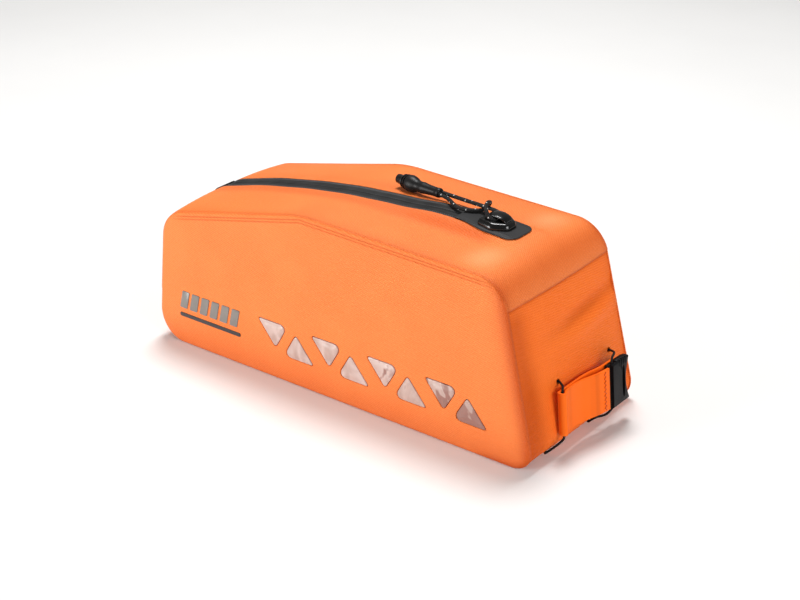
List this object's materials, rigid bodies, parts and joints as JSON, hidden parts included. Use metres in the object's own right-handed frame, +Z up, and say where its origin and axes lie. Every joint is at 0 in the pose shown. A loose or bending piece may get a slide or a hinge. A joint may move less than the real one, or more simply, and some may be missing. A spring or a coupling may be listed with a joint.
{
  "type": "bicycle frame bag",
  "caption": "Orange waterproof bicycle frame bag with a covered zip, a cord pull, film windows and a buckle strap.",
  "frame": {"origin": "middle of the flat base that the bag stands on", "axes": "+X from the rear end to the strap end, +Y to the far side, +Z up off the base"},
  "size_m": [0.2443, 0.095, 0.1059],
  "materials": {
    "shell_cloth": "orange coated cloth, fine twill weave, satin",
    "end_cloth": "the same coated cloth, a little deeper in colour",
    "zip_tape": "dark grey coated zip tape, satin",
    "patch_rubber": "dark grey welded rubber patch, satin",
    "slider_gloss": "black, glossy",
    "grip_rubber": "black moulded rubber, satin",
    "pull_cord": "black braided cord with pale reflective flecks",
    "lacing_cord": "thin black braided cord",
    "window_film": "milky translucent film, satin gloss",
    "reflective_trim": "grey reflective transfer",
    "bar_trim": "dark printed bar, matt",
    "strap_webbing": "orange coated webbing with two stitch rows",
    "buckle_plastic": "black moulded plastic, satin"
  },
  "bodies": {
    "root": {"side_panel_near": "shell_cloth", "side_panel_far": "shell_cloth", "top_panel": "shell_cloth", "rear_panel": "shell_cloth", "base_panel": "shell_cloth", "strap_end_panel": "end_cloth", "zip_tape_near": "zip_tape", "zip_tape_far": "zip_tape", "zip_end_patch": "patch_rubber", "zip_rear_patch": "patch_rubber", "zip_slider": "slider_gloss", "pull_cord": "pull_cord", "pull_grip": "grip_rubber", "window_film_near_1": "window_film", "window_film_near_2": "window_film", "window_film_near_3": "window_film", "window_film_near_4": "window_film", "window_film_near_5": "window_film", "window_film_near_6": "window_film", "window_film_near_7": "window_film", "window_film_near_8": "window_film", "window_film_far_1": "window_film", "window_film_far_2": "window_film", "window_film_far_3": "window_film", "window_film_far_4": "window_film", "window_film_far_5": "window_film", "window_film_far_6": "window_film", "window_film_far_7": "window_film", "window_film_far_8": "window_film", "reflector_dash_1": "reflective_trim", "reflector_dash_2": "reflective_trim", "reflector_dash_3": "reflective_trim", "reflector_dash_4": "reflective_trim", "reflector_dash_5": "reflective_trim", "reflector_dash_6": "reflective_trim", "accent_bar": "bar_trim", "strap_loop": "strap_webbing", "strap_buckle": "buckle_plastic", "lacing_cord_near": "lacing_cord", "lacing_cord_far": "lacing_cord"}
  },
  "joints": []
}
